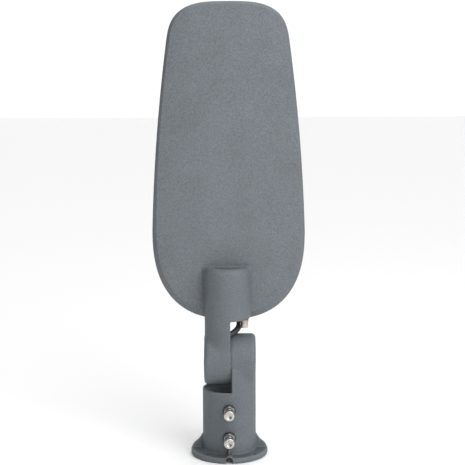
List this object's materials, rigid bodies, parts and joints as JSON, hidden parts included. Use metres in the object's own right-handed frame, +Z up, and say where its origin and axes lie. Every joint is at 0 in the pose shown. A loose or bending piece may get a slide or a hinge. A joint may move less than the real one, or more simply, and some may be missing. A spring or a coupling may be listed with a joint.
{
  "type": "street luminaire",
  "caption": "Flat racket-shaped LED street light head on a toothed tilting knuckle, with a clamped pole socket, a bolt-down flange and a supply lead.",
  "frame": {"origin": "centre of the flange's underside, on the axis of the pole socket", "axes": "+Z up the socket's axis, -Y towards the clamp screws and the head's flat back, +Y towards the light side, +X to the right seen from the clamp screws"},
  "size_m": [0.1916, 0.2439, 0.5668],
  "materials": {
    "casting": "die-cast, grey textured powder coat",
    "stainless": "bright stainless",
    "dark_nut": "dulled zinc",
    "black_rubber": "satin",
    "core_brown": "smooth",
    "core_blue": "smooth",
    "core_green_yellow": "smooth, yellow stripe",
    "wire_red": "smooth",
    "ferrule_tin": "tinned",
    "white_board": "white solder mask on aluminium",
    "phosphor": "yellow phosphor",
    "clear_optic": "moulded clear optic",
    "clear_sheet": "clear pane",
    "driver_case": "plain sheet",
    "dark_plastic": "moulded",
    "ivory_plastic": "moulded",
    "brass": "plain"
  },
  "bodies": {
    "bracket_base": {"lower_bracket": "casting", "clamp_washers": "dark_nut", "clamp_jam_nuts": "dark_nut", "knuckle_bolt": "stainless", "knuckle_washers": "stainless", "knuckle_spring_washer": "stainless", "knuckle_nut": "stainless", "supply_lead": "black_rubber", "lead_core_line": "core_brown", "lead_core_neutral": "core_blue", "lead_core_earth": "core_green_yellow", "lead_ferrules": "ferrule_tin"},
    "upper_clamp_screw": {"clamp_screw_upper": "stainless"},
    "lower_clamp_screw": {"clamp_screw_lower": "stainless"},
    "head": {"upper_bracket": "casting", "bonding_screw": "stainless", "bonding_washer": "stainless", "bonding_spring_washer": "stainless", "lead_seal": "black_rubber", "boss_gasket": "black_rubber", "bracket_screws": "stainless", "head_housing": "casting", "led_board": "white_board", "led_chips": "phosphor", "led_board_screws": "stainless", "lens_array": "clear_optic", "pane_gasket": "black_rubber", "clear_pane": "clear_sheet", "pane_frame": "casting", "pane_frame_screws": "stainless", "driver": "driver_case", "driver_screws": "stainless", "surge_protector": "dark_plastic", "terminal_block": "ivory_plastic", "inner_mains_wires": "black_rubber", "inner_led_wires": "wire_red", "inner_earth_screw": "brass", "cover_gasket": "black_rubber", "driver_cover": "casting", "cover_screws": "stainless", "breather_vent": "dark_plastic"}
  },
  "joints": [
    {"name": "head_tilt", "type": "hinge", "parent": "bracket_base", "child": "head", "pos_m": [0, 0, 0.122], "axis": [1, 0, 0], "range_deg": [-90, 12.86], "deforming": ["supply_lead"]},
    {"name": "upper_clamp", "type": "slide", "parent": "bracket_base", "child": "upper_clamp_screw", "axis": [0, 1, 0], "range_m": [0, 0.0085]},
    {"name": "lower_clamp", "type": "slide", "parent": "bracket_base", "child": "lower_clamp_screw", "axis": [0, 1, 0], "range_m": [0, 0.0085]}
  ]
}
